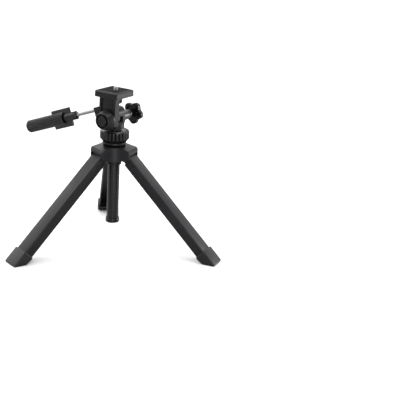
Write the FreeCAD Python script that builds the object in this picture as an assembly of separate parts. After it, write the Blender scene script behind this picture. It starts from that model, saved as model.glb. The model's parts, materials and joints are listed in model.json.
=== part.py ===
import FreeCAD, Part
import math
import os

# Tabletop tripod with a pan-and-tilt head.  Millimetres, +Z up.  The origin is on the ground,
# on the axis of the centre column.  The rear leg points along +Y.

# ground to screw tip
leg_azimuths = {"left": 210.0, "right": 330.0, "rear": 90.0}
head_azimuth = 49.5          # direction of the tilt axis, towards the star knob
tilt_axis_z = 189.2
platform_top_z = 229.8
screw_tip_z = 234.2

# crown: three arms around a hub, hollow corners between them
arm_half_w = 15.0
arm_end_r = 31.0
corner_fillet = 20.0
arm_corner_r = 2.5
crown_top_z = 150.0
crown_bottom_z = 129.8
top_slope_r = 14.0           # the top and bottom slope towards each arm's end from here
arm_end_top_z = 147.2
arm_end_bottom_z = 134.4
arm_bevel = (28.4, 144.2)    # bevel over the arm's end: where it starts, where it ends
slot_half_w = 12.2
slot_back_r = 15.3
slot_roof_z = 145.4
lip_r = 29.0
lip_z = 140.8
split_z = 133.2              # joint between the crown and its base plate
collar_r = 10.7
collar_z = 121.6
neck_r = 16.8                # flange under the nut
neck_low_z = 152.8
neck_top_z = 155.4
undercut_r = 13.6
thread_r = 13.5
thread_top_z = 166.0

# leg hinge and legs
pivot_r = 22.0
pivot_z = 136.5
spread_deg = 45.0
pin_r = 2.0
pin_half = 14.0
leg_half_w = 11.7
leg_outer_n = 6.43           # outer face, from the pivot
leg_inner_n = -7.42          # open edges
leg_wall = 1.5
rivet_r = 1.6
rivet_s = 17.0               # along the leg, from the pivot
foot_top_s = 173.0           # along the leg, from the pivot
foot_half_w = 13.4
foot_outer_n = 8.1
foot_inner_n = -9.2
foot_sole = 3.0

# column
tube_r = 8.5
tube_bore_r = 6.7
tube_bottom_z = 37.0
tube_top_z = 172.2
column_foot_z = 34.3
bush_clear = 0.06

# column lock nut
nut_r = 20.8
nut_bottom_z = 155.7
nut_top_z = 172.2
nut_ribs = 24

# turret
turret_r = 13.3
turret_bottom_z = 174.6
shoulder_z = 182.0
ear_x = (-3.0, 12.0)
ear_half_y = 9.0
ear_top_z = 204.9
running = 0.05

# platform bracket
plate_x = 40.5
plate_y = 39.0
plate_t = 9.4
plate_corner_r = 2.0
plate_bevel = 1.5
plate_shift = (-1.0, 1.8)
web_x = (-19.0, -10.0)
web_low_y = (-13.1, 14.6)    # the web leans a little between its foot and the plate
web_high_y = (-14.6, 13.6)
web_round_r = 15.6           # lower end, about the tilt axis
panel_rim = 3.2
panel_low_z = 198.0
panel_depth = 2.0
pad_t = 1.4
rim_drop = 0.4

# tilt bolt line
bolt_r = 4.0
disc_r = 10.0                # friction disc between the web and the turret
disc_t = 0.75
boss_base_r = 14.8
boss_front_r = 11.2
boss_front_x = -30.6
spacer_r = 7.1
spacer_end_x = 28.0
hub_step_x = 32.5
knob_face_x = 40.3           # side of the knob towards the turret
knob_end_x = 47.2
knob_lobes = 5
knob_reach = 16.2
knob_body_r = 12.2
lobe_r = 6.4

# camera screw, quarter inch
thread_quarter_r = 3.175
wheel_r = 9.6
wheel_z = (210.6, 220.2)

# handle
handle_drop = 20.5           # degrees below level
handle_x = -14.5
handle_e = 16.8              # rod axis above the tilt axis
lug_d = 18.2                 # outer face of the lug, from the tilt axis
lug_e = 21.1                 # top of the lug
rod_r = 2.5
collar_d = (55.0, 64.5)
grip_d = (77.0, 146.0)
grip_r = 9.3
wing_d = (64.5, 100.5)
wing_reach = 13.8
handle_end_d = 151.0
rod_end_d = 134.0
plug_d = 137.0               # end cap's plug starts here

Z = FreeCAD.Vector(0, 0, 1)
X = FreeCAD.Vector(1, 0, 0)
Y = FreeCAD.Vector(0, 1, 0)


def vec(x, y, z):
    return FreeCAD.Vector(x, y, z)


def cyl(r, z0, z1, x=0.0, y=0.0):
    return Part.makeCylinder(r, z1 - z0, vec(x, y, z0))


def cone(r0, r1, z0, z1):
    return Part.makeCone(r0, r1, z1 - z0, vec(0, 0, z0))


def box(x0, x1, y0, y1, z0, z1):
    return Part.makeBox(x1 - x0, y1 - y0, z1 - z0, vec(x0, y0, z0))


def turned(shape, axis, degrees, centre=None):
    out = shape.copy()
    out.rotate(centre or vec(0, 0, 0), axis, degrees)
    return out


def moved(shape, x, y, z):
    out = shape.copy()
    out.translate(vec(x, y, z))
    return out


def fuse_all(shapes):
    out = shapes[0]
    for other in shapes[1:]:
        out = out.fuse(other)
    return out.removeSplitter()


def cut_all(shape, tools):
    for tool in tools:
        shape = shape.cut(tool)
    return shape


def ring(outer, inner, z0, z1):
    return cyl(outer, z0, z1).cut(cyl(inner, z0 - 1, z1 + 1))


def along_x(shape):
    """A shape built on +Z, laid along +X at the tilt axis."""
    return moved(turned(shape, Y, 90.0), 0, 0, tilt_axis_z)


def in_head(shape):
    return turned(shape, Z, head_azimuth)


def in_handle(shape):
    """A shape built on +Z, laid along the handle, with +X kept across it."""
    laid = turned(shape, X, -(90.0 + handle_drop))
    drop = math.radians(handle_drop)
    return moved(laid, handle_x, handle_e * math.sin(drop), tilt_axis_z + handle_e * math.cos(drop))


def on_leg(shape, azimuth):
    """A leg part built hanging from the origin, its outer face at +X, swung out and placed."""
    swung = moved(turned(shape, Y, -spread_deg), pivot_r, 0, pivot_z)
    return turned(swung, Z, azimuth)


def upright_edges(shape):
    return [e for e in shape.Edges if abs(e.Vertexes[0].Z - e.Vertexes[-1].Z) > 1]


def cross_edges(shape):
    return [e for e in shape.Edges if abs(e.Vertexes[0].X - e.Vertexes[-1].X) > 1]


def edge_reach(edge):
    return math.hypot(edge.Vertexes[0].X, edge.Vertexes[0].Y)


def write(name, shape):
    shape.exportStep("parts/" + name + ".step")


# ---------------------------------------------------------------- crown

def on_arms(shape):
    return [turned(shape, Z, azimuth) for azimuth in leg_azimuths.values()]


def crown_outline(z0, z1):
    star = fuse_all(on_arms(box(0, arm_end_r, -arm_half_w, arm_half_w, z0, z1)))
    inner = [e for e in upright_edges(star) if edge_reach(e) < arm_end_r]
    star = star.makeFillet(corner_fillet, inner)
    outer = [e for e in upright_edges(star) if edge_reach(e) > arm_end_r]
    return star.makeFillet(arm_corner_r, outer)


def crown_blank():
    """Crown and base plate in one, with sloping tops and undersides on the arms."""
    blank = crown_outline(crown_bottom_z, crown_top_z)
    run = arm_end_r - top_slope_r
    top_drop = math.degrees(math.atan2(crown_top_z - arm_end_top_z, run))
    under_rise = math.degrees(math.atan2(arm_end_bottom_z - crown_bottom_z, run))
    over = moved(turned(box(0, 60, -60, 60, 0, 40), Y, top_drop), top_slope_r, 0, crown_top_z)
    under = moved(turned(box(0, 60, -60, 60, -40, 0), Y, -under_rise), top_slope_r, 0, crown_bottom_z)
    start_r, end_z = arm_bevel
    start_z = crown_top_z - (start_r - top_slope_r) * math.tan(math.radians(top_drop))
    bevel_drop = math.degrees(math.atan2(start_z - end_z, arm_end_r - start_r))
    bevel = moved(turned(box(0, 60, -60, 60, 0, 40), Y, bevel_drop), start_r, 0, start_z)
    return cut_all(blank, on_arms(over) + on_arms(under) + on_arms(bevel))


def leg_slots():
    low = crown_bottom_z - 1
    inner = box(slot_back_r, lip_r, -slot_half_w, slot_half_w, low, slot_roof_z)
    outer = box(lip_r - 1, arm_end_r + 5, -slot_half_w, slot_half_w, low, lip_z)
    return on_arms(inner.fuse(outer))


def sector_screw_places():
    reach = 16.0
    places = []
    for azimuth in leg_azimuths.values():
        angle = math.radians(azimuth + 60.0)
        places.append((reach * math.cos(angle), reach * math.sin(angle)))
    return places


def make_crown():
    body = crown_blank()
    body = body.common(box(-60, 60, -60, 60, split_z, 200))
    body = body.fuse(cyl(undercut_r, crown_top_z - 0.5, neck_low_z))
    body = body.fuse(cyl(neck_r, neck_low_z, neck_top_z))
    body = body.fuse(cyl(thread_r, neck_top_z, thread_top_z))
    seat = moved(turned(cyl(pin_r, -pin_half, pin_half), X, 90.0), pivot_r, 0, pivot_z)
    cradle = box(pivot_r - pin_r, pivot_r + pin_r, -pin_half, pin_half, crown_bottom_z, pivot_z)
    cutters = leg_slots() + on_arms(seat.fuse(cradle))
    cutters.append(cyl(10.5, crown_bottom_z - 1, thread_top_z + 1))
    for x, y in sector_screw_places():
        cutters.append(cyl(1.5, split_z - 1, split_z + 8, x, y))
    return cut_all(body, cutters).removeSplitter()


def make_crown_base():
    plate = crown_blank()
    plate = plate.common(box(-60, 60, -60, 60, 100, split_z))
    plate = cut_all(plate, leg_slots())
    plate = plate.fuse(cyl(collar_r, collar_z + 0.8, crown_bottom_z))
    plate = plate.fuse(cone(collar_r - 0.8, collar_r, collar_z, collar_z + 0.8))
    cutters = [cyl(tube_r + 0.3, collar_z - 1, split_z + 1)]
    for x, y in sector_screw_places():
        cutters.append(cyl(1.5, crown_bottom_z - 1, split_z + 1, x, y))
        cutters.append(moved(cone(2.9, 1.5, crown_bottom_z, crown_bottom_z + 1.4), x, y, 0))
    return cut_all(plate, cutters).removeSplitter()


def make_base_screws():
    screws = []
    for x, y in sector_screw_places():
        head = moved(cone(2.9, 1.5, crown_bottom_z, crown_bottom_z + 1.4), x, y, 0)
        screw = head.fuse(cyl(1.5, crown_bottom_z + 1.4, split_z + 7, x, y))
        driver = box(x - 2.0, x + 2.0, y - 0.35, y + 0.35, crown_bottom_z - 1, crown_bottom_z + 0.7)
        screws.append(screw.cut(driver))
    return Part.makeCompound(screws)


def make_leg_pins():
    pin = moved(turned(cyl(pin_r, -pin_half, pin_half), X, 90.0), pivot_r, 0, pivot_z)
    return Part.makeCompound(on_arms(pin))


def make_column_bush():
    """A split collet: the nut closes its cone on the column."""
    bore = tube_r + bush_clear
    sleeve = cyl(10.5, split_z, thread_top_z)
    sleeve = sleeve.fuse(cone(11.6, 10.0, thread_top_z, thread_top_z + 2.0))
    sleeve = sleeve.cut(cyl(bore, split_z - 1, thread_top_z + 3))
    for azimuth in leg_azimuths.values():
        slit = box(0, 20, -0.6, 0.6, thread_top_z - 16, thread_top_z + 3)
        sleeve = sleeve.cut(turned(slit, Z, azimuth))
    return sleeve


def make_lock_nut():
    chamfer = 4.4
    body = cone(nut_r - chamfer, nut_r, nut_bottom_z, nut_bottom_z + chamfer)
    body = body.fuse(cyl(nut_r, nut_bottom_z + chamfer, nut_top_z - 1.4))
    body = body.fuse(cone(nut_r, nut_r - 1.4, nut_top_z - 1.4, nut_top_z))
    cutters = [cyl(thread_r + 0.08, nut_bottom_z - 1, thread_top_z + 0.6)]
    cutters.append(cone(thread_r + 0.08, tube_r + 0.5, thread_top_z + 0.6, nut_top_z - 1.5))
    cutters.append(cyl(tube_r + 0.5, nut_top_z - 2.0, nut_top_z + 1))
    for i in range(nut_ribs):
        groove = cyl(1.3, nut_bottom_z - 1, nut_top_z - 1.6, nut_r + 0.3, 0)
        cutters.append(turned(groove, Z, i * 360.0 / nut_ribs))
    return cut_all(body, cutters)


# ---------------------------------------------------------------- legs

def foot_plane_cut(height):
    """Everything below a level plane, seen from a leg part that still hangs straight down."""
    below = box(-400, 400, -60, 60, -400, height)
    return turned(moved(below, -pivot_r, 0, -pivot_z), Y, spread_deg)


def make_leg_channel():
    length = 205.0
    inner_n = leg_outer_n - leg_wall
    profile = box(leg_inner_n, leg_outer_n, -leg_half_w, leg_half_w, -length, 0)
    outer = [e for e in upright_edges(profile) if e.Vertexes[0].X > 0]
    profile = profile.makeFillet(1.6, outer)
    hollow_w = leg_half_w - leg_wall
    profile = profile.cut(box(leg_inner_n - 1, inner_n, -hollow_w, hollow_w, -length - 1, 1))
    top_drop = math.degrees(math.atan2(4.5, leg_outer_n - leg_inner_n))
    top = turned(box(-30, 30, -30, 30, 0, 30), Y, -top_drop)
    profile = profile.cut(moved(top, leg_outer_n, 0, -3.5))
    return profile.cut(foot_plane_cut(foot_sole))


def make_leg_block():
    """Plastic end of the leg: an eye on the hinge pin, a stop heel and a tongue in the channel."""
    eye_r = 6.2
    eye_half = 11.9
    eye = turned(cyl(eye_r, -eye_half, eye_half), X, 90.0)
    neck = box(-eye_r, eye_r, -eye_half, eye_half, -3.4, 0)
    tongue_half = leg_half_w - leg_wall - 0.05
    tongue = box(-5.6, leg_outer_n - leg_wall - 0.05, -tongue_half, tongue_half, -26.0, 0)
    heel = box(-6.45, -1.0, -eye_half, eye_half, 0.5, 5.5)
    heel = turned(heel, Y, spread_deg)
    block = fuse_all([eye, neck, tongue, heel])
    bore = turned(cyl(pin_r + running, -20, 20), X, 90.0)
    pocket = box(-6.6, 1.5, -tongue_half + 2.0, tongue_half - 2.0, -22.0, -9.0)
    block = cut_all(block, [bore, pocket])
    top_drop = math.degrees(math.atan2(4.5, leg_outer_n - leg_inner_n))
    below = turned(box(-40, 40, -30, -tongue_half, -60, 0), Y, -top_drop)
    for side in (below, below.mirror(vec(0, 0, 0), Y)):
        block = block.cut(moved(side, leg_outer_n, 0, -3.4))
    return block


def make_leg_rivets():
    rivets = []
    for side in (-1, 1):
        rivet = turned(cyl(rivet_r, 4.0, leg_half_w), X, -90.0 * side)
        rivets.append(moved(rivet, 1.5, 0, -rivet_s))
    return Part.makeCompound(rivets)


def drill_rivets(shape):
    hole = turned(cyl(rivet_r, -20, 20), X, 90.0)
    return shape.cut(moved(hole, 1.5, 0, -rivet_s))


def make_foot():
    length = 210.0
    shell = box(foot_inner_n, foot_outer_n, -foot_half_w, foot_half_w, -length, -foot_top_s)
    shell = shell.makeFillet(1.5, upright_edges(shell))
    cavity = box(leg_inner_n, leg_outer_n, -leg_half_w, leg_half_w, -length - 1, -foot_top_s + 1)
    cavity = cavity.cut(foot_plane_cut(foot_sole))
    shell = shell.cut(cavity).cut(foot_plane_cut(0.0))
    heel_start = 148.0
    heel = turned(box(-60, 0, -30, 30, -60, 0), Y, 38.0)
    heel = moved(heel, heel_start, 0, 0)
    toe = moved(turned(box(0, 40, -30, 30, -40, 20), Y, 30.0), 166.4, 0, 0)
    for tool in (heel, toe):
        hung = turned(moved(tool, -pivot_r, 0, -pivot_z), Y, spread_deg)
        shell = shell.cut(hung)
    return shell


# ---------------------------------------------------------------- column

def make_column_tube():
    return ring(tube_r, tube_bore_r, tube_bottom_z, tube_top_z)


def make_end_cap():
    cap_r = 9.9
    rim = cone(cap_r - 1.4, cap_r, column_foot_z, column_foot_z + 1.4)
    rim = rim.fuse(cyl(cap_r, column_foot_z + 1.4, column_foot_z + 7.6))
    rim = rim.cut(cyl(tube_r, tube_bottom_z, column_foot_z + 9))
    spigot = cyl(tube_bore_r, tube_bottom_z, tube_bottom_z + 12)
    cap = rim.fuse(spigot).removeSplitter()
    return cut_all(cap, [cyl(1.7, column_foot_z - 1, tube_bottom_z + 13),
                         cyl(3.4, column_foot_z - 1, column_foot_z + 1.6)])


def make_end_cap_screw():
    head = cyl(3.2, column_foot_z + 0.2, column_foot_z + 1.6)
    screw = head.fuse(cyl(1.7, column_foot_z + 1.6, tube_bottom_z + 11))
    cross = box(-1.8, 1.8, -0.4, 0.4, column_foot_z, column_foot_z + 0.9)
    return cut_all(screw, [cross, turned(cross, Z, 90.0)])


def make_column_plug():
    flange_r = 9.8
    plug = cyl(tube_bore_r, 150.0, tube_top_z).fuse(cyl(flange_r, tube_top_z + 0.2, 174.0))
    plug = plug.fuse(cyl(tube_bore_r, tube_top_z - 1, 174.0)).removeSplitter()
    return cut_all(plug, [cyl(3.0 + running, 140, 180), cyl(5.6, 149, 160.0)])


# ---------------------------------------------------------------- turret

def make_turret():
    front, back = ear_x
    post = cyl(turret_r, turret_bottom_z, shoulder_z)
    post = post.fuse(cone(turret_r, turret_r - 2.5, shoulder_z, shoulder_z + 2.5))
    post = post.common(box(-turret_r - 1, back, -20, 20, 0, 300))
    arch_z = ear_top_z - ear_half_y
    ear = box(front, back, -ear_half_y, ear_half_y, shoulder_z, arch_z)
    arch = moved(along_x(cyl(ear_half_y, front, back)), 0, 0, arch_z - tilt_axis_z)
    boss = along_x(cyl(disc_r, web_x[1] + disc_t + running, front + 1))
    post = post.fuse(ear).fuse(arch).fuse(boss)
    web_room = box(-30, web_x[1] + disc_t + running, -30, 30, 0, 300)
    below = cyl(60, turret_bottom_z - 20, turret_bottom_z)
    bore = along_x(cyl(bolt_r + running, -40, 40))
    pan_bore = cyl(3.0, 170, 183.0)
    return cut_all(post, [web_room, below, bore, pan_bore]).removeSplitter()


def make_pan_washer():
    return ring(9.6, 3.2, 174.05, turret_bottom_z)


def make_pan_bolt():
    bolt = cyl(5.2, 153.5, 158.5).fuse(cyl(3.0, 158.5, 183.0))
    key = Part.makePolygon([vec(2.5 * math.cos(math.radians(a)), 2.5 * math.sin(math.radians(a)), 153.0)
                            for a in range(0, 361, 60)])
    socket = Part.Face(Part.Wire(key)).extrude(vec(0, 0, 3.0))
    return bolt.cut(socket)


def make_pan_spring():
    return ring(5.3, 3.2, 158.6, 159.9)


def make_tilt_disc():
    return along_x(ring(disc_r, bolt_r + 0.3, web_x[1], web_x[1] + disc_t))


def make_knuckle_washer():
    back = ear_x[1]
    return along_x(ring(8.0, bolt_r + 0.3, back, back + 1.0))


def make_tilt_spacer():
    start = ear_x[1] + 1.0
    sleeve = along_x(cyl(spacer_r, start, spacer_end_x))
    waist = along_x(ring(spacer_r + 1, spacer_r - 0.5, spacer_end_x - 0.9, spacer_end_x + 1))
    bore = along_x(cyl(bolt_r + 0.3, -40, 60))
    return cut_all(sleeve, [waist, bore])


# ---------------------------------------------------------------- platform bracket

def dowel_holes():
    hole = cyl(1.5, web_x[0] - 4, web_x[0] + 5)
    return [moved(along_x(hole), 0, side * 10.0, 0) for side in (-1, 1)]


def handle_lug():
    """Lug beside the web that the handle screws into, square to the handle."""
    half_t = (web_x[1] - web_x[0]) / 2
    lug = box(-half_t, half_t, handle_e - lug_e, handle_e - 1.0, 0, lug_d)
    return in_handle(lug.makeFillet(1.0, cross_edges(lug)))


def web_slab(margin, z0, z1, x0, x1):
    """The web between two heights, drawn in by a margin at each side."""
    sides = []
    for z in (z0, z1):
        t = (z - tilt_axis_z) / (platform_top_z - plate_t - tilt_axis_z)
        left = web_low_y[0] + (web_high_y[0] - web_low_y[0]) * t + margin
        right = web_low_y[1] + (web_high_y[1] - web_low_y[1]) * t - margin
        sides.append((left, right, z))
    (a, b, low), (c, d, high) = sides
    corners = [vec(x0, a, low), vec(x0, b, low), vec(x0, d, high), vec(x0, c, high)]
    outline = Part.makePolygon(corners + corners[:1])
    return Part.Face(outline).extrude(vec(x1 - x0, 0, 0))


def make_platform_bracket():
    low = platform_top_z - plate_t
    high = platform_top_z - rim_drop
    half_x = plate_x / 2
    half_y = plate_y / 2
    plate = box(-half_x, half_x, -half_y, half_y, low, high)
    plate = plate.makeFillet(plate_corner_r, upright_edges(plate))
    top_edges = [e for e in plate.Edges if min(v.Z for v in e.Vertexes) > high - 0.01]
    plate = moved(plate.makeChamfer(plate_bevel, top_edges), plate_shift[0], plate_shift[1], 0)
    web = web_slab(0.0, tilt_axis_z, low + 1, web_x[0], web_x[1])
    lower = along_x(cyl(web_round_r, web_x[0], web_x[1]))
    lower = lower.cut(box(-40, 40, -40, web_low_y[0], 100, 300))
    body = fuse_all([plate, web, lower, handle_lug()])
    panel = web_slab(panel_rim, panel_low_z, low - 1.6, web_x[0] - 1, web_x[0] + panel_depth)
    panel = panel.makeFillet(1.5, cross_edges(panel))
    pad_seat = pad_blank(high + 1)
    cutters = [panel, pad_seat, along_x(cyl(bolt_r, -40, 40))]
    cutters.append(cyl(thread_quarter_r + 0.1, low - 1, high + 1))
    cutters.append(cyl(5.0, platform_top_z - pad_t - 1.0, high + 1))
    cutters.append(in_handle(cyl(rod_r + running, 3.0, 60)))
    return cut_all(body, cutters + dowel_holes())


def pad_blank(top):
    margin = 3.2
    pad_x = plate_x / 2 - margin
    pad_y = plate_y / 2 - margin
    pad = box(-pad_x, pad_x, -pad_y, pad_y, platform_top_z - pad_t, top)
    return moved(pad, plate_shift[0], plate_shift[1], 0)


def make_platform_pad():
    return pad_blank(platform_top_z).cut(cyl(4.2, platform_top_z - 5, platform_top_z + 1))


def make_tilt_boss():
    boss = along_x(cone(boss_front_r, boss_base_r, boss_front_x, web_x[0]))
    cap_pocket = along_x(cyl(9.9, -40, -26.6))
    shaft = along_x(cyl(bolt_r, -40, 0))
    return cut_all(boss, [cap_pocket, shaft] + dowel_holes())


def make_boss_dowels():
    return Part.makeCompound(dowel_holes())


def make_tilt_bolt():
    head = along_x(cyl(6.3, -30.2, -26.6))
    return head.fuse(along_x(cyl(bolt_r, -26.6, knob_end_x - 2.4)))


def make_tilt_cap():
    cap = along_x(cyl(7.4, boss_front_x - 0.6, -26.6))
    return cap.cut(along_x(cyl(6.3, -30.2, -20)))


# ---------------------------------------------------------------- star knob

def make_tilt_knob():
    body = cyl(knob_body_r, knob_face_x, knob_end_x)
    for i in range(knob_lobes):
        lobe = cyl(lobe_r, knob_face_x, knob_end_x, knob_reach - lobe_r, 0)
        body = body.fuse(turned(lobe, Z, (i + 0.875) * 360.0 / knob_lobes))
    body = body.removeSplitter()
    body = body.cut(ring(11.0, 7.6, knob_face_x - 1, knob_face_x + 3.0))
    hub = cyl(spacer_r, spacer_end_x + 0.1, hub_step_x)
    stem = cyl(spacer_r - 1.2, hub_step_x - 1, knob_end_x - 1)
    knob = fuse_all([body, hub, stem])
    insert_seat = cyl(5.4, knob_face_x, knob_end_x - 2.2)
    shaft = cyl(bolt_r + 0.3, 0, knob_end_x - 2.2)
    return along_x(cut_all(knob, [insert_seat, shaft]))


def make_knob_insert():
    return along_x(ring(5.4, bolt_r + running, knob_face_x, knob_end_x - 2.2))


# ---------------------------------------------------------------- camera screw

def make_camera_screw():
    neck_low = platform_top_z - pad_t - 1.0
    screw = cyl(thread_quarter_r, wheel_z[0] - 1.0, neck_low)
    screw = screw.fuse(cyl(2.6, neck_low, platform_top_z))
    screw = screw.fuse(cyl(thread_quarter_r, platform_top_z, screw_tip_z - 0.6))
    tip = cone(thread_quarter_r, thread_quarter_r - 0.6, screw_tip_z - 0.6, screw_tip_z)
    return screw.fuse(tip)


def make_thumbwheel():
    low, high = wheel_z
    wheel = cyl(wheel_r, low, high)
    grooves = 24
    for i in range(grooves):
        groove = cyl(0.7, low - 1, high + 1, wheel_r + 0.2, 0)
        wheel = wheel.cut(turned(groove, Z, i * 360.0 / grooves))
    wheel = wheel.fuse(cyl(5.0, low - 1.6, low))
    return wheel.cut(cyl(thread_quarter_r, low - 5, high + 5))


def make_screw_clip():
    low = platform_top_z - pad_t - 0.9
    clip = ring(4.6, 2.6, low, low + 0.7)
    return clip.cut(box(0, 10, -1.4, 1.4, low - 1, low + 2))


# ---------------------------------------------------------------- handle

def make_handle_rod():
    return in_handle(cyl(rod_r, 3.5, rod_end_d))


def make_handle_collar():
    low, high = collar_d
    collar = cyl(6.1, low, high)
    notches = 4
    for i in range(notches):
        notch = box(3.6, 8.0, -1.3, 1.3, low - 1, low + 3.6)
        collar = collar.cut(turned(notch, Z, 45.0 + i * 360.0 / notches))
    collar = collar.fuse(cyl(5.2, low, high))
    return in_handle(collar.cut(cyl(rod_r, 0, 90)))


def make_handle_grip():
    low, high = grip_d
    front = wing_d[0]
    ribs = 20
    grip = cyl(grip_r, low, high)
    for i in range(ribs):
        groove = cyl(0.75, low - 1, high + 1, grip_r + 0.25, 0)
        grip = grip.cut(turned(groove, Z, (i + 0.5) * 360.0 / ribs))
    grip = grip.cut(cyl(7.2, low - 1, low + 6.0))
    grip = grip.fuse(cyl(5.6, front, low + 6.5))
    blade_t = 3.0
    blades = box(-blade_t / 2, blade_t / 2, -wing_reach, wing_reach, wing_d[0], wing_d[1])
    grip = grip.fuse(blades.makeFillet(1.0, cross_edges(blades))).removeSplitter()
    plug_room = cyl(6.0, plug_d, high + 5)
    return in_handle(cut_all(grip, [cyl(rod_r, 0, rod_end_d), plug_room]))


def make_grip_cap():
    low = grip_d[1]
    dome_r = 9.9
    rim = cyl(grip_r, low, handle_end_d)
    sphere = Part.makeSphere(dome_r, vec(0, 0, handle_end_d - dome_r))
    cap = rim.common(sphere.fuse(cyl(grip_r, low, low + 0.6)))
    return in_handle(cap.fuse(cyl(6.0, plug_d, low)).removeSplitter())


os.makedirs("parts", exist_ok=True)

write("crown", make_crown())
write("crown_base", make_crown_base())
write("base_screws", make_base_screws())
write("leg_pins", make_leg_pins())
write("column_bush", make_column_bush())
write("lock_nut", make_lock_nut())

channel = drill_rivets(make_leg_channel())
block = drill_rivets(make_leg_block())
for leg, azimuth in leg_azimuths.items():
    write("leg_channel_" + leg, on_leg(channel, azimuth))
    write("leg_block_" + leg, on_leg(block, azimuth))
    write("leg_rivets_" + leg, on_leg(make_leg_rivets(), azimuth))
    write("foot_" + leg, on_leg(make_foot(), azimuth))

write("column_tube", make_column_tube())
write("column_end_cap", make_end_cap())
write("end_cap_screw", make_end_cap_screw())
write("column_plug", make_column_plug())

head_parts = {
    "turret": make_turret(),
    "pan_washer": make_pan_washer(),
    "pan_bolt": make_pan_bolt(),
    "pan_spring_washer": make_pan_spring(),
    "tilt_friction_disc": make_tilt_disc(),
    "knuckle_washer": make_knuckle_washer(),
    "tilt_spacer": make_tilt_spacer(),
    "platform_bracket": make_platform_bracket(),
    "platform_pad": make_platform_pad(),
    "tilt_boss": make_tilt_boss(),
    "boss_dowels": make_boss_dowels(),
    "tilt_bolt": make_tilt_bolt(),
    "tilt_cap": make_tilt_cap(),
    "tilt_knob": make_tilt_knob(),
    "tilt_knob_insert": make_knob_insert(),
    "camera_screw": make_camera_screw(),
    "thumbwheel": make_thumbwheel(),
    "camera_screw_clip": make_screw_clip(),
    "handle_rod": make_handle_rod(),
    "handle_collar": make_handle_collar(),
    "handle_grip": make_handle_grip(),
    "handle_end_cap": make_grip_cap(),
}
for name, shape in head_parts.items():
    write(name, in_head(shape))
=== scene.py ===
import json
import math
import bmesh
import bpy
from mathutils import Matrix, Vector


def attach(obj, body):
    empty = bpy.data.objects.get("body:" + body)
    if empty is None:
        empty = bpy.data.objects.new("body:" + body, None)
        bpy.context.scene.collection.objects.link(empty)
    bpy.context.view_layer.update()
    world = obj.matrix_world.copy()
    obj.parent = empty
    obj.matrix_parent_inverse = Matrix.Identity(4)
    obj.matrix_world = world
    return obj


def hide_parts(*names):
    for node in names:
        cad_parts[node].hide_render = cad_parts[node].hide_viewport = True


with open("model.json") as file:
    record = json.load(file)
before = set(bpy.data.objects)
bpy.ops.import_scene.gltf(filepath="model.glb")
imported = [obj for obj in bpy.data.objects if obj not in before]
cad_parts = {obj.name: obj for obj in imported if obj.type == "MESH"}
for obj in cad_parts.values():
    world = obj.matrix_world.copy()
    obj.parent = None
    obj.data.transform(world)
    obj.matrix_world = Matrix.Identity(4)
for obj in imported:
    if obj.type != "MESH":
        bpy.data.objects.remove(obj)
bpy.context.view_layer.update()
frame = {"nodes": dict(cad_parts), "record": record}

mm = 0.001
headSet = {"turn": 49.5, "axisHeight": 189.2}
handleSet = {"drop": 20.5, "across": -14.5, "above": 16.8}
legSet = {
    "azimuths": {"left": 210.0, "right": 330.0, "rear": 90.0},
    "spread": 45.0,
    "pivotReach": 22.0,
    "pivotHeight": 136.5,
}


# where each group of pieces sits: shapes are drawn in mm on +Z, then placed
def deg(angle):
    return math.radians(angle)


here = Matrix.Identity(4)
headPlace = Matrix.Rotation(deg(headSet["turn"]), 4, "Z")
tiltPlace = headPlace @ Matrix.Translation((0, 0, headSet["axisHeight"])) @ Matrix.Rotation(deg(90), 4, "Y")
handlePlace = (
    headPlace
    @ Matrix.Translation((
        handleSet["across"],
        handleSet["above"] * math.sin(deg(handleSet["drop"])),
        headSet["axisHeight"] + handleSet["above"] * math.cos(deg(handleSet["drop"])),
    ))
    @ Matrix.Rotation(deg(-90 - handleSet["drop"]), 4, "X")
)


def legPlace(leg):
    turn = Matrix.Rotation(deg(legSet["azimuths"][leg]), 4, "Z")
    pivot = Matrix.Translation((legSet["pivotReach"], 0, legSet["pivotHeight"]))
    return turn @ pivot @ Matrix.Rotation(deg(-legSet["spread"]), 4, "Y")


# finishes
def startFinish(name, rough, metallic, specular):
    material = bpy.data.materials.new(name)
    material.use_nodes = True
    tree = material.node_tree
    shader = tree.nodes["Principled BSDF"]
    shader.inputs["Metallic"].default_value = metallic
    shader.inputs["Specular IOR Level"].default_value = specular
    shader.inputs["Roughness"].default_value = rough
    return material, tree, shader


def noiseOn(tree, scale, detail=2.0, stretch=(1, 1, 1), roughness=0.5):
    coords = tree.nodes.new("ShaderNodeTexCoord")
    mapping = tree.nodes.new("ShaderNodeMapping")
    mapping.inputs["Scale"].default_value = stretch
    noise = tree.nodes.new("ShaderNodeTexNoise")
    noise.inputs["Scale"].default_value = scale
    noise.inputs["Detail"].default_value = detail
    noise.inputs["Roughness"].default_value = roughness
    tree.links.new(coords.outputs["Object"], mapping.inputs["Vector"])
    tree.links.new(mapping.outputs["Vector"], noise.inputs["Vector"])
    return noise.outputs["Fac"]


noiseSpan = {"tone": (0.35, 0.65), "range": (0.3, 0.7)}  # the part of the noise that is used


def toneFrom(tree, fac, *tones):
    ramp = tree.nodes.new("ShaderNodeValToRGB")
    for stop, position, tone in zip(ramp.color_ramp.elements, noiseSpan["tone"], tones):
        stop.position = position
        stop.color = (*tone, 1)
    tree.links.new(fac, ramp.inputs["Fac"])
    return ramp.outputs["Color"]


def rangeFrom(tree, fac, low, high):
    spread = tree.nodes.new("ShaderNodeMapRange")
    spread.inputs["From Min"].default_value, spread.inputs["From Max"].default_value = noiseSpan["range"]
    spread.inputs["To Min"].default_value = low
    spread.inputs["To Max"].default_value = high
    tree.links.new(fac, spread.inputs["Value"])
    return spread.outputs["Result"]


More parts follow.
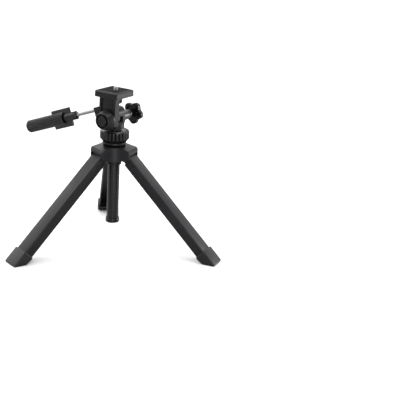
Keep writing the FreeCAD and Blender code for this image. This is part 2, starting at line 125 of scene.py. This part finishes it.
def bySight(tree, lit, seen, output):
    path = tree.nodes.new("ShaderNodeLightPath")  # one look when seen directly, another to light the object
    mix = tree.nodes.new("ShaderNodeMixShader")
    tree.links.new(path.outputs["Is Camera Ray"], mix.inputs["Fac"])
    tree.links.new(lit, mix.inputs[1])
    tree.links.new(seen, mix.inputs[2])
    tree.links.new(mix.outputs["Shader"], tree.nodes[output].inputs["Surface"])


def bumpFrom(tree, fac, strength, height, under=None):
    bump = tree.nodes.new("ShaderNodeBump")
    bump.inputs["Strength"].default_value = strength
    bump.inputs["Distance"].default_value = height
    tree.links.new(fac, bump.inputs["Height"])
    if under:
        tree.links.new(under, bump.inputs["Normal"])
    return bump.outputs["Normal"]


def grainFinish(name, look):
    metallic, specular = look.get("metallic", 0.0), look.get("specular", 0.5)
    material, tree, shader = startFinish(name, look["rough"][0], metallic, specular)
    stretch = look.get("stretch", (1, 1, 1))
    cloud = noiseOn(tree, look["cloud"], 4.0, stretch, 0.6)
    grain = noiseOn(tree, look["grain"], 2.0, stretch)
    speck = noiseOn(tree, look["grain"] * 2.7, 1.0, stretch)
    tree.links.new(toneFrom(tree, cloud, look["dark"], look["light"]), shader.inputs["Base Color"])
    tree.links.new(rangeFrom(tree, speck, *look["rough"]), shader.inputs["Roughness"])
    fine = bumpFrom(tree, speck, look["bump"] * 0.6, look["height"])
    tree.links.new(bumpFrom(tree, grain, look["bump"], look["height"], fine), shader.inputs["Normal"])
    return material


finishLooks = {
    "painted_casting": {"dark": (0.006, 0.0058, 0.0071), "light": (0.0098, 0.0095, 0.0115),
                        "rough": (0.36, 0.48), "cloud": 60.0, "grain": 1400.0, "bump": 0.25, "height": 0.00005,
                        "specular": 0.24},
    "leg_paint": {"dark": (0.006, 0.006, 0.0071), "light": (0.0098, 0.0095, 0.0115), "rough": (0.36, 0.48),
                  "cloud": 45.0, "grain": 1700.0, "bump": 0.2, "height": 0.00004, "specular": 0.26},
    "black_plastic": {"dark": (0.004, 0.004, 0.0045), "light": (0.007, 0.0068, 0.0077), "rough": (0.36, 0.5),
                      "cloud": 80.0, "grain": 3200.0, "bump": 0.3, "height": 0.00003, "specular": 0.26},
    "foot_rubber": {"dark": (0.005, 0.005, 0.006), "light": (0.009, 0.009, 0.0103), "rough": (0.38, 0.5),
                    "cloud": 70.0, "grain": 2600.0, "bump": 0.35, "height": 0.00004, "specular": 0.34},
    "pad_rubber": {"dark": (0.007, 0.007, 0.008), "light": (0.011, 0.011, 0.0125), "rough": (0.66, 0.82),
                   "cloud": 90.0, "grain": 3000.0, "bump": 0.45, "height": 0.00006, "specular": 0.04},
    "column_tube": {"dark": (0.004, 0.004, 0.005), "light": (0.007, 0.007, 0.0085), "rough": (0.2, 0.3),
                    "cloud": 50.0, "grain": 900.0, "bump": 0.08, "height": 0.00003, "specular": 0.38,
                    "stretch": (1, 1, 0.04)},
    "zinc_steel": {"dark": (0.33, 0.335, 0.35), "light": (0.45, 0.455, 0.46), "rough": (0.28, 0.42),
                   "cloud": 300.0, "grain": 1500.0, "bump": 0.2, "height": 0.00003, "metallic": 1.0},
    "bright_screw": {"dark": (0.26, 0.26, 0.27), "light": (0.36, 0.36, 0.37), "rough": (0.16, 0.28),
                     "cloud": 400.0, "grain": 1800.0, "bump": 0.12, "height": 0.00002, "metallic": 1.0},
    "chrome_rod": {"dark": (0.25, 0.255, 0.265), "light": (0.32, 0.325, 0.335), "rough": (0.05, 0.1),
                   "cloud": 120.0, "grain": 2500.0, "bump": 0.06, "height": 0.00001, "metallic": 1.0},
    "brass_insert": {"dark": (0.52, 0.38, 0.15), "light": (0.62, 0.46, 0.2), "rough": (0.28, 0.4),
                     "cloud": 300.0, "grain": 1500.0, "bump": 0.15, "height": 0.00002, "metallic": 1.0},
    "nylon": {"dark": (0.012, 0.012, 0.013), "light": (0.018, 0.018, 0.019), "rough": (0.4, 0.52),
              "cloud": 100.0, "grain": 2500.0, "bump": 0.15, "height": 0.00002},
    # near-black matte finish for the neck ring and the knuckle block: painted shade
    "painted_shade_black": {"dark": (0.0015, 0.0015, 0.0018), "light": (0.003, 0.003, 0.0034), "rough": (0.75, 0.9),
                    "cloud": 80.0, "grain": 3000.0, "bump": 0.3, "height": 0.00004, "specular": 0.03},
    "nut_plastic": {"dark": (0.0025, 0.0025, 0.003), "light": (0.0045, 0.0044, 0.005), "rough": (0.16, 0.26),
                    "cloud": 80.0, "grain": 3000.0, "bump": 0.15, "height": 0.00002, "specular": 0.38},
    # lighter, glossier plastic for the ring on the nut's top: painted highlight
    "painted_highlight_plastic": {"dark": (0.05, 0.05, 0.053), "light": (0.085, 0.085, 0.089), "rough": (0.24, 0.34),
                     "cloud": 260.0, "grain": 3000.0, "bump": 0.15, "height": 0.00002, "specular": 0.6},
    "knob_plastic": {"dark": (0.002, 0.002, 0.0023), "light": (0.0034, 0.0034, 0.0039), "rough": (0.26, 0.36),
                     "cloud": 80.0, "grain": 3000.0, "bump": 0.2, "height": 0.00002, "specular": 0.3},
    "grip_plastic": {"dark": (0.006, 0.006, 0.007), "light": (0.011, 0.0107, 0.0125), "rough": (0.24, 0.34),
                     "cloud": 70.0, "grain": 2800.0, "bump": 0.25, "height": 0.00003, "specular": 0.5},
    # lighter grey copy of the black plastic for the spacer: painted light
    "painted_light_grey": {"dark": (0.019, 0.019, 0.021), "light": (0.029, 0.029, 0.0315), "rough": (0.3, 0.42),
                     "cloud": 150.0, "grain": 2000.0, "bump": 0.3, "height": 0.00004, "specular": 0.5},
}
finishes = {slot: grainFinish(slot + "_finish", look) for slot, look in finishLooks.items()}

slotOfNode = {entry["node"]: entry["material_slot"] for entry in frame["record"]["subparts"]}
for node, thing in frame["nodes"].items():
    thing.data.materials.clear()
    thing.data.materials.append(finishes[slotOfNode[node]])
print("finishes made:", len(finishes))


# shaping helpers: every shape is drawn in mm
cornerSteps = 3


def everything(bm):
    return bm.verts[:] + bm.edges[:] + bm.faces[:]


def vertsOf(geom):
    return [g for g in geom if isinstance(g, bmesh.types.BMVert)]


def bevelEdges(bm, edges, ease, segments=cornerSteps, clamp=False):
    bmesh.ops.bevel(bm, geom=edges, offset=ease, offset_type="OFFSET", segments=segments,
                    profile=0.5, affect="EDGES", material=-1, clamp_overlap=clamp)


def pullIn(vert, r, dip):
    vert.co.x *= (r - dip) / r
    vert.co.y *= (r - dip) / r


def turnedShape(profile, steps=96, loop=False):
    bm = bmesh.new()  # rows are radius, height and, where the corner is eased, how far
    verts = [bm.verts.new((row[0], 0, row[1])) for row in profile]
    for pair in zip(verts, verts[1:]):
        bm.edges.new(pair)
    if loop:
        bm.edges.new((verts[-1], verts[0]))
    for vert, row in zip(verts, profile):
        if len(row) == 3:
            bmesh.ops.bevel(bm, geom=[vert], offset=row[2], offset_type="OFFSET", segments=cornerSteps,
                            profile=0.5, affect="VERTICES", material=-1)
    bmesh.ops.spin(bm, geom=bm.verts[:] + bm.edges[:], cent=(0, 0, 0), axis=(0, 0, 1), dvec=(0, 0, 0),
                   angle=math.tau, steps=steps, use_merge=True, use_normal_flip=False, use_duplicate=False)
    bmesh.ops.remove_doubles(bm, verts=bm.verts[:], dist=1e-4)
    return bm


def flute(bm, count, depth, reach, low, high, narrow, start=0.0):
    for vert in bm.verts:
        r = math.hypot(vert.co.x, vert.co.y)
        if r > reach and low < vert.co.z < high:
            around = math.atan2(vert.co.y, vert.co.x) - start
            pullIn(vert, r, depth * (0.5 + 0.5 * math.cos(count * around)) ** narrow)


def addBlock(bm, low, high, ease=0.0):
    made = bmesh.ops.create_cube(bm, size=1.0)["verts"]
    size = [b - a for a, b in zip(low, high)]
    middle = [(a + b) / 2 for a, b in zip(low, high)]
    bmesh.ops.scale(bm, vec=size, verts=made)
    bmesh.ops.translate(bm, vec=middle, verts=made)
    if ease:
        bevelEdges(bm, list({edge for vert in made for edge in vert.link_edges}), ease, clamp=True)


def easeEdges(thing, width, segments=cornerSteps, angle=30):
    ease = thing.modifiers.new("easedEdges", "BEVEL")
    ease.width = width * mm
    ease.segments = segments
    ease.limit_method = "ANGLE"
    ease.angle_limit = deg(angle)
    ease.use_clamp_overlap = True
    ease.harden_normals = False


def newThing(name, bm, material):
    mesh = bpy.data.meshes.new(name)
    bm.to_mesh(mesh)
    bm.free()
    mesh.materials.clear()
    mesh.materials.append(material)
    thing = bpy.data.objects.new(name, mesh)
    bpy.context.scene.collection.objects.link(thing)
    return thing


def shadeSmooth(thing, smoothBelow):
    thing.data.shade_smooth()
    thing.data.set_sharp_from_angle(angle=deg(smoothBelow))


def addPiece(name, bm, place, body, slot, nodes, finish=None, smoothBelow=38, closed=True):
    bmesh.ops.transform(bm, matrix=Matrix.Scale(mm, 4) @ place, verts=bm.verts[:])
    if closed:
        bmesh.ops.recalc_face_normals(bm, faces=bm.faces[:])
    thing = newThing(name, bm, finishes[finish or slot])
    shadeSmooth(thing, smoothBelow)
    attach(thing, body)
    if nodes:
        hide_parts(*nodes)
    return thing


softenSet = {"weld": 2e-6, "flat": 0.6, "smoothBelow": 40}  # weld in metres, the others in degrees


def softenedNode(name, node, body, ease, segments=cornerSteps, finish=None):
    bm = bmesh.new()  # the node's own shape with its hard edges eased
    bm.from_mesh(frame["nodes"][node].data)
    bmesh.ops.remove_doubles(bm, verts=bm.verts[:], dist=softenSet["weld"])
    bmesh.ops.dissolve_limit(bm, angle_limit=deg(softenSet["flat"]), verts=bm.verts[:], edges=bm.edges[:])
    thing = newThing(name, bm, finishes[finish or slotOfNode[node]])
    shadeSmooth(thing, softenSet["smoothBelow"])
    easeEdges(thing, ease, segments)
    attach(thing, body)
    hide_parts(node)


# crown and column
crownSet = {"ease": 0.8, "plateEase": 0.6}
softenedNode("crownCasting", "crown", "crown", crownSet["ease"])
softenedNode("crownPlate", "crown_base", "crown", crownSet["plateEase"])

nutSet = {"radius": 20.8, "low": 155.7, "high": 172.2, "bore": 9.2, "skirtBore": 13.7, "taper": 4.4,
          "ribs": 24, "depth": 2.0, "narrow": 2.6}


def makeNut():
    n = nutSet
    low, high, r, bore, skirt = n["low"], n["high"], n["radius"], n["bore"], n["skirtBore"]
    profile = [(bore, high - 1.2), (bore, high - 0.2, 0.3), (r - 1.9, high, 0.5), (r, high - 1.5, 0.7),
               (r, low + n["taper"], 1.4), (r - n["taper"], low, 0.6), (skirt, low, 0.3), (skirt, low + 2.0)]
    bm = turnedShape(profile, steps=n["ribs"] * 12)
    flute(bm, n["ribs"], n["depth"], r - 1.5, low, high - 1.9, n["narrow"])
    addPiece("lockNut", bm, here, "lock_nut", "black_plastic", ["lock_nut"], "nut_plastic", closed=False)


nutHighlightSet = {"inner": 14.6, "outer": nutSet["radius"] - 2.1, "rise": 0.12, "sunk": 0.3}


def makeNutHighlightRing():
    top = nutSet["high"] + nutHighlightSet["rise"]  # lighter, glossier ring along the top edge of the nut: painted highlight
    low = nutSet["high"] - nutHighlightSet["sunk"]
    profile = [(nutHighlightSet["inner"], low), (nutHighlightSet["inner"], top, 0.1), (nutHighlightSet["outer"], top, 0.15),
               (nutHighlightSet["outer"] + 0.4, low)]
    addPiece("nutHighlightRing", turnedShape(profile, 144, True), here, "lock_nut", "black_plastic", [], "painted_highlight_plastic")


columnCapSet = {"hole": 3.4, "low": 34.3, "radius": 9.9, "waist": 9.3, "waistAt": 39.6, "lip": 9.7,
                "high": 41.9, "bore": 8.6, "seat": 38.0}


def makeColumnCap():
    c = columnCapSet
    profile = [(c["hole"], c["low"], 0.3), (c["radius"], c["low"], 1.5), (c["radius"], c["waistAt"] - 0.7, 0.5),
               (c["waist"], c["waistAt"], 0.3), (c["lip"], c["high"], 0.7), (c["bore"], c["high"], 0.2),
               (c["bore"], c["seat"]), (c["hole"], c["seat"])]
    addPiece("columnCap", turnedShape(profile, loop=True), here, "column", "black_plastic",
             ["column_end_cap"], "nut_plastic")


neckShadeSet = {"inner": 13.5, "low": 150.1, "waist": 15.9, "waistAt": 151.4, "high": 152.7}


def makeNeckShadeRing():
    # black ring in the undercut under the nut: painted shade where the nut's shadow falls on the crown
    n = neckShadeSet
    profile = [(n["inner"], n["low"]), (n["waist"] + 0.3, n["low"], 0.5), (n["waist"], n["waistAt"], 0.3),
               (n["waist"] + 0.4, n["high"], 0.4), (n["inner"], n["high"])]
    addPiece("neckShadeRing", turnedShape(profile, loop=True), here, "crown", "pad_rubber", [], "painted_shade_black")


makeNut()
makeNutHighlightRing()
makeNeckShadeRing()
makeColumnCap()
print("crown and column done")

# legs
channelSet = {"outer": 6.43, "inner": -7.42, "half": 11.7, "wall": 1.5, "corner": 1.6, "top": -3.5,
              "topDrop": 4.5, "length": 205.0, "soleGap": 3.0, "ease": 0.3}
bootSet = {"outer": 8.1, "inner": -9.2, "half": 13.4, "top": -173.0, "bottom": -212.0, "lip": 1.6,
           "depth": 12.0, "heel": (148.0, 38.0), "toe": (166.4, 30.0), "ease": 1.3}
legEndEase = 0.5


def makeChannel(leg):
    c = channelSet
    bm = bmesh.new()
    half = c["half"]
    corners = [(c["inner"], -half), (c["outer"], -half), (c["outer"], half), (c["inner"], half)]
    verts = [bm.verts.new((n, w, 0)) for n, w in corners]
    edges = [bm.edges.new(pair) for pair in zip(verts, verts[1:])]
    pulled = bmesh.ops.extrude_edge_only(bm, edges=edges)["geom"]
    bmesh.ops.translate(bm, vec=(0, 0, -c["length"]), verts=vertsOf(pulled))
    long = [e for e in bm.edges
            if abs(e.verts[0].co.z - e.verts[1].co.z) > c["length"] / 2 and e.verts[0].co.x > 0]
    bevelEdges(bm, long, c["corner"], 4)
    slope = math.atan2(c["topDrop"], c["outer"] - c["inner"])
    bmesh.ops.bisect_plane(bm, geom=everything(bm), dist=1e-4, plane_co=(c["outer"], 0, c["top"]),
                           plane_no=(-math.sin(slope), 0, math.cos(slope)), clear_outer=True)
    for face in bm.faces:
        face.normal_update()
    outside = max(bm.faces, key=lambda f: f.calc_center_median().x)
    if outside.normal.x < 0:
        bmesh.ops.reverse_faces(bm, faces=bm.faces[:])
    place = legPlace(leg)
    back = place.inverted()
    ground = back @ Vector((0, 0, c["soleGap"]))
    up = (back.to_3x3() @ Vector((0, 0, 1))).normalized()
    bmesh.ops.bisect_plane(bm, geom=everything(bm), dist=1e-4, plane_co=ground, plane_no=up, clear_inner=True)
    thing = addPiece("legChannel_" + leg, bm, place, "leg_" + leg, "leg_paint", ["leg_channel_" + leg],
                     closed=False)
    wall = thing.modifiers.new("wall", "SOLIDIFY")
    wall.thickness = c["wall"] * mm
    wall.offset = -1
    wall.use_even_offset = True
    easeEdges(thing, c["ease"], 2, 50)


def trim(bm, point, normal):
    made = bmesh.ops.bisect_plane(bm, geom=everything(bm), dist=1e-4, plane_co=point, plane_no=normal,
                                  clear_outer=True)
    rim = [g for g in made["geom_cut"] if isinstance(g, bmesh.types.BMEdge)]
    bmesh.ops.contextual_create(bm, geom=rim)


def makeBoot(leg):
    b = bootSet
    bm = bmesh.new()
    addBlock(bm, (b["inner"], -b["half"], b["bottom"]), (b["outer"], b["half"], b["top"]))
    upright = Matrix.Rotation(deg(legSet["azimuths"][leg]), 4, "Z").inverted() @ legPlace(leg)
    bmesh.ops.transform(bm, matrix=upright, verts=bm.verts[:])
    trim(bm, (0, 0, 0), (0, 0, -1))
    reach, turn = b["heel"]
    trim(bm, (reach, 0, 0), (-math.sin(deg(turn)), 0, -math.cos(deg(turn))))
    reach, turn = b["toe"]
    trim(bm, (reach, 0, 0), (math.cos(deg(turn)), 0, -math.sin(deg(turn))))
    bmesh.ops.recalc_face_normals(bm, faces=bm.faces[:])
    along = (upright.to_3x3() @ Vector((0, 0, 1))).normalized()
    bevelEdges(bm, bm.edges[:], b["ease"], clamp=True)
    crest = max(bm.faces, key=lambda f: (round(f.normal.dot(along), 3), f.calc_area()))
    bmesh.ops.inset_region(bm, faces=[crest], thickness=b["lip"] - b["ease"] * 0.8, depth=0.0,
                           use_even_offset=True)
    pulled = bmesh.ops.extrude_face_region(bm, geom=[crest])["geom"]
    bmesh.ops.delete(bm, geom=[crest], context="FACES_ONLY")
    bmesh.ops.translate(bm, vec=along * -b["depth"], verts=vertsOf(pulled))
    bmesh.ops.transform(bm, matrix=Matrix.Rotation(deg(legSet["azimuths"][leg]), 4, "Z"), verts=bm.verts[:])
    addPiece("boot_" + leg, bm, here, "leg_" + leg, "foot_rubber", ["foot_" + leg])


for leg in legSet["azimuths"]:
    makeChannel(leg)
    makeBoot(leg)
    softenedNode("legEnd_" + leg, "leg_block_" + leg, "leg_" + leg, legEndEase)
print("legs done")

# head
headEase = {"turret": 0.8, "bracket": 0.7, "pad": 0.4}
softenedNode("panBody", "turret", "turret", headEase["turret"])
softenedNode("cameraBracket", "platform_bracket", "platform", headEase["bracket"])
softenedNode("platformPad", "platform_pad", "platform", headEase["pad"])

panelSet = {"front": -17.5, "back": -16.9, "ease": 0.25,
            "sides": ((-10.1, 10.9, 198.2), (-11.1, 10.25, 218.6))}  # left, right and height, low then high


def makePanel():
    p = panelSet
    (lowLeft, lowRight, low), (highLeft, highRight, high) = p["sides"]
    bm = bmesh.new()
    corners = [(lowLeft, low), (lowRight, low), (highRight, high), (highLeft, high)]
    face = bm.faces.new([bm.verts.new((p["front"], y, z)) for y, z in corners])
    frontEdges = list(face.edges)
    pulled = bmesh.ops.extrude_face_region(bm, geom=[face], use_keep_orig=True)["geom"]
    bmesh.ops.translate(bm, vec=(p["back"] - p["front"], 0, 0), verts=vertsOf(pulled))
    bevelEdges(bm, frontEdges, p["ease"])
    addPiece("webPanel", bm, headPlace, "platform", "black_plastic", [])


bossSet = {"base": 14.8, "front": 11.2, "from": -19.0, "to": -30.6, "pocket": 9.9, "floor": -26.6,
           "bore": 4.2}


def makeBoss():
    b = bossSet
    span = b["to"] - b["from"]
    profile = [(b["bore"], b["from"]), (b["base"], b["from"], 0.3),
               (b["base"] - 0.3, b["from"] + span * 0.25, 1.0),
               (b["front"] + 1.3, b["from"] + span * 0.75, 2.0), (b["front"] - 0.1, b["to"], 0.7),
               (b["pocket"], b["to"], 0.3), (b["pocket"], b["floor"], 0.3), (b["bore"], b["floor"])]
    addPiece("tiltBoss", turnedShape(profile, 128, True), tiltPlace, "platform", "painted_casting",
             ["tilt_boss"])


tiltCapSet = {"radius": 7.4, "dish": 4.6, "face": -31.2, "dishFloor": -30.9}


def makeTiltCap():
    t = tiltCapSet
    profile = [(0, t["dishFloor"]), (t["dish"], t["dishFloor"], 0.3), (t["dish"] + 0.6, t["face"], 0.3),
               (t["radius"], t["face"], 0.7), (t["radius"], bossSet["floor"]), (0, bossSet["floor"])]
    addPiece("tiltCap", turnedShape(profile), tiltPlace, "platform", "black_plastic", ["tilt_cap"])


spacerSet = {"bore": 4.3, "radius": 7.1, "low": 13.0, "high": 28.0, "groove": 6.5, "grooveAt": (26.2, 26.8)}


def makeSpacer():
    t = spacerSet
    r, (grooveLow, grooveHigh) = t["radius"], t["grooveAt"]
    profile = [(t["bore"], t["low"]), (r, t["low"], 0.4), (r, grooveLow - 0.3, 0.2), (t["groove"], grooveLow),
               (t["groove"], grooveHigh), (r, grooveHigh + 0.3, 0.2), (r, t["high"], 0.3),
               (t["bore"], t["high"])]
    # the spacer gets a lighter grey copy of the black plastic: painted light from the right
    addPiece("tiltSpacer", turnedShape(profile, loop=True), tiltPlace, "turret", "black_plastic",
             ["tilt_spacer"], "painted_light_grey")


knuckleShadeSet = {"low": (-2.9, -9.6, 181.8), "high": (6.8, -8.6, 192.4), "ease": 0.4}


def makeKnuckleShadeBlock():
    bm = bmesh.new()  # black block on the knuckle's side: painted shade in the gap between the web and the knuckle
    addBlock(bm, knuckleShadeSet["low"], knuckleShadeSet["high"], knuckleShadeSet["ease"])
    addPiece("knuckleShadeBlock", bm, headPlace, "turret", "pad_rubber", [], "painted_shade_black")


knobSet = {"lobes": 5, "reach": 16.2, "valley": 12.5, "start": 63.0, "face": 40.3, "end": 47.2, "hub": 7.1,
           "hubFrom": 28.1, "hubTo": 32.5, "stem": 5.9, "recess": 10.8, "lobesFrom": 11.2}


def makeKnob():
    k = knobSet
    profile = [(0, k["hubFrom"]), (k["hub"], k["hubFrom"], 0.4), (k["hub"], k["hubTo"], 0.9),
               (k["stem"], k["hubTo"] + 0.9, 0.3), (k["stem"], k["face"] + 3.0, 0.4),
               (k["recess"] - 0.3, k["face"] + 3.0, 0.4), (k["recess"], k["face"], 0.4),
               (k["reach"], k["face"], 0.9), (k["reach"], k["end"], 1.8), (k["recess"], k["end"], 0.6),
               (k["recess"] - 1.0, k["end"] - 0.7, 0.4), (0, k["end"] - 0.9)]
    bm = turnedShape(profile, 160)
    for vert in bm.verts:
        r = math.hypot(vert.co.x, vert.co.y)
        share = min(1.0, max(0.0, (r - k["lobesFrom"]) / (k["reach"] - k["lobesFrom"])))
        if share > 0:
            around = math.atan2(vert.co.y, vert.co.x) - deg(k["start"])
            hollow = (0.5 - 0.5 * math.cos(k["lobes"] * around)) ** 1.5
            pullIn(vert, r, share * (k["reach"] - k["valley"]) * hollow)
    addPiece("starKnob", bm, tiltPlace, "tilt_knob", "black_plastic", ["tilt_knob"], "knob_plastic")


makePanel()
makeBoss()
makeTiltCap()
makeSpacer()
makeKnuckleShadeBlock()
makeKnob()

screwSet = {"radius": 3.175, "core": 2.6, "pitch": 1.27, "top": 234.2, "threadLow": 227.4, "low": 209.6,
            "tip": 0.7}


def makeScrew():
    s = screwSet
    rows = int((s["top"] - s["threadLow"]) / (s["pitch"] / 10))
    profile = [(0, s["low"]), (s["radius"] - 0.1, s["low"], 0.3), (s["radius"] - 0.1, s["threadLow"] - 0.1)]
    for i in range(rows + 1):
        profile.append((s["radius"], s["threadLow"] + (s["top"] - s["threadLow"]) * i / rows))
    profile.append((0, s["top"]))
    bm = turnedShape(profile, 48)
    for vert in bm.verts:
        r = math.hypot(vert.co.x, vert.co.y)
        if vert.co.z > s["threadLow"] - 0.05 and r > 1:
            turn = math.atan2(vert.co.y, vert.co.x) / math.tau
            phase = (vert.co.z / s["pitch"] - turn) % 1.0
            groove = min(1.0, max(0.0, 1.6 * (1 - abs(2 * phase - 1)) - 0.25))  # flat crest, flat root
            tip = max(0.0, vert.co.z - (s["top"] - s["tip"]))
            target = s["radius"] - (s["radius"] - s["core"]) * groove - tip * 0.7
            pullIn(vert, r, r - target)
    addPiece("cameraScrew", bm, headPlace, "camera_screw", "bright_screw", ["camera_screw"], smoothBelow=60)


wheelSet = {"radius": 9.6, "low": 210.6, "high": 220.2, "bore": 3.3, "ribs": 28, "depth": 0.55, "narrow": 1.5}


def makeWheel():
    w = wheelSet
    low, high, r, bore = w["low"], w["high"], w["radius"], w["bore"]
    profile = [(bore, low - 1.6), (bore + 1.7, low - 1.6, 0.4), (bore + 1.9, low, 0.3), (r - 1.8, low, 0.7),
               (r, low + 1.9, 0.8), (r, high - 2.6, 0.8), (r - 1.9, high - 0.1, 0.6), (bore, high - 0.1)]
    bm = turnedShape(profile, w["ribs"] * 8, loop=True)
    flute(bm, w["ribs"], w["depth"], r - 1.2, low, high, w["narrow"])
    addPiece("thumbWheel", bm, headPlace, "camera_screw", "black_plastic", ["thumbwheel"])


makeScrew()
makeWheel()
print("head done")

# handle
gripSet = {"radius": 9.3, "core": 5.6, "bore": 2.6, "front": 77.0, "nose": 64.5, "end": 146.0, "tip": 151.0,
           "ribs": 22, "depth": 1.6, "narrow": 2.2, "wingHalf": 1.5, "wingReach": 13.8, "wingEnd": 100.5,
           "wingEase": 1.1}


def makeGrip():
    g = gripSet
    r, bore, front, end = g["radius"], g["bore"], g["front"], g["end"]
    profile = [(bore, front + 6.0), (r - 1.9, front + 6.0, 0.3), (r - 1.9, front, 0.2), (r, front, 0.9),
               (r, end - 0.4, 0.4), (r - 0.5, end), (bore, end)]
    bm = turnedShape(profile, g["ribs"] * 8, loop=True)
    flute(bm, g["ribs"], g["depth"], r - 0.7, front + 0.7, end - 0.6, g["narrow"], math.pi / g["ribs"])
    addBlock(bm, (-g["wingHalf"], -g["wingReach"], g["nose"]), (g["wingHalf"], g["wingReach"], g["wingEnd"]),
             g["wingEase"])
    addPiece("handleGrip", bm, handlePlace, "handle", "black_plastic", ["handle_grip"], "grip_plastic")


def makeGripNose():
    g = gripSet
    top = g["front"] + 6.2
    profile = [(g["bore"], g["nose"]), (g["core"], g["nose"], 0.6), (g["core"], top), (g["bore"], top)]
    addPiece("gripNose", turnedShape(profile, 96, True), handlePlace, "handle", "black_plastic", [],
             "nut_plastic")


def makeGripEnd():
    g = gripSet
    r, end, tip = g["radius"], g["end"], g["tip"]
    profile = [(0, end + 0.1), (r - 0.2, end + 0.1, 0.2), (r, end + 1.0), (r - 1.4, tip - 1.8, 1.6),
               (r - 5.2, tip - 0.3, 1.6), (0, tip)]
    addPiece("gripEnd", turnedShape(profile, 96), handlePlace, "handle", "black_plastic",
             ["handle_end_cap"], "grip_plastic")


collarSet = {"ease": 0.35, "segments": 2}
softenedNode("handleCollar", "handle_collar", "handle", collarSet["ease"], collarSet["segments"], "nut_plastic")
makeGrip()
makeGripNose()
makeGripEnd()
print("handle done")

# floor, light and camera
floorSet = {"half": 30.0, "tone": ((0.84, 0.84, 0.84), (0.88, 0.88, 0.88)), "bounce": 0.42, "cloud": 3.0,
            "rough": 0.85, "specular": 0.1}
skySet = {"toward": (-0.45, 0.66, 0.6), "spread": (-0.2, 1.0), "strength": (0.3, 2.25)}
lightSet = {
    "right": {"at": (1.4, 0.1, 0.2), "aim": (0, 0, 0.19), "size": 0.6, "power": 17.5},
    "overhead": {"at": (0.5, -0.3, 1.5), "aim": (0, 0, 0.19), "size": 0.5, "power": 6.0},
    "leftHigh": {"at": (-0.93, 0.13, 1.49), "aim": (0, 0, 0.19), "size": 0.7, "power": 6.2},
    "front": {"at": (0.1, -1.25, 0.15), "aim": (0, 0, 0.14), "size": 0.3, "power": 7.0},
}
cameraSet = {"at": (-95.3, -1415.9, 541.5), "turn": (71.67, -2.99, -7.96), "lens": 92.57}


def makeFloor():
    bm = bmesh.new()
    bmesh.ops.create_grid(bm, x_segments=2, y_segments=2, size=floorSet["half"])
    material, tree, shader = startFinish("floor_finish", floorSet["rough"], 0.0, floorSet["specular"])
    fac = noiseOn(tree, floorSet["cloud"])
    tree.links.new(toneFrom(tree, fac, *floorSet["tone"]), shader.inputs["Base Color"])
    dim = tree.nodes.new("ShaderNodeBsdfDiffuse")  # how much light the floor throws back at the object
    dim.inputs["Color"].default_value = (*[floorSet["bounce"]] * 3, 1)
    bySight(tree, dim.outputs["BSDF"], shader.outputs["BSDF"], "Material Output")
    floor = newThing("floor", bm, material)


def makeLights():
    for name, look in lightSet.items():
        data = bpy.data.lights.new(name, "AREA")
        data.size = look["size"]
        data.energy = look["power"]
        lamp = bpy.data.objects.new(name, data)
        lamp.location = look["at"]
        lamp.rotation_euler = (Vector(look["aim"]) - Vector(look["at"])).to_track_quat("-Z", "Y").to_euler()
        lamp.visible_camera = False
        bpy.context.scene.collection.objects.link(lamp)


def makeSky():
    world = bpy.data.worlds.new("studio")  # soft light that grows towards the back, plain white to look at
    world.use_nodes = True
    tree = world.node_tree
    glow = tree.nodes["Background"]
    coords = tree.nodes.new("ShaderNodeTexCoord")
    toward = tree.nodes.new("ShaderNodeVectorMath")
    toward.operation = "DOT_PRODUCT"
    toward.inputs[1].default_value = skySet["toward"]
    spread = tree.nodes.new("ShaderNodeMapRange")
    spread.inputs["From Min"].default_value, spread.inputs["From Max"].default_value = skySet["spread"]
    spread.inputs["To Min"].default_value, spread.inputs["To Max"].default_value = skySet["strength"]
    tree.links.new(coords.outputs["Generated"], toward.inputs[0])
    tree.links.new(toward.outputs["Value"], spread.inputs["Value"])
    tree.links.new(spread.outputs["Result"], glow.inputs["Strength"])
    plain = tree.nodes.new("ShaderNodeBackground")
    for light in (glow, plain):
        light.inputs["Color"].default_value = (1, 1, 1, 1)
    bySight(tree, glow.outputs["Background"], plain.outputs["Background"], "World Output")
    bpy.context.scene.world = world
    bpy.context.scene.view_settings.view_transform = "Standard"


def makeCamera():
    data = bpy.data.cameras.new("viewCamera")
    data.sensor_width = 36.0
    data.lens = cameraSet["lens"]
    camera = bpy.data.objects.new("viewCamera", data)
    camera.location = Vector(cameraSet["at"]) * mm
    camera.rotation_euler = [deg(a) for a in cameraSet["turn"]]
    bpy.context.scene.collection.objects.link(camera)
    bpy.context.scene.camera = camera


makeFloor()
makeLights()
makeSky()
makeCamera()
print("floor, light and camera done")
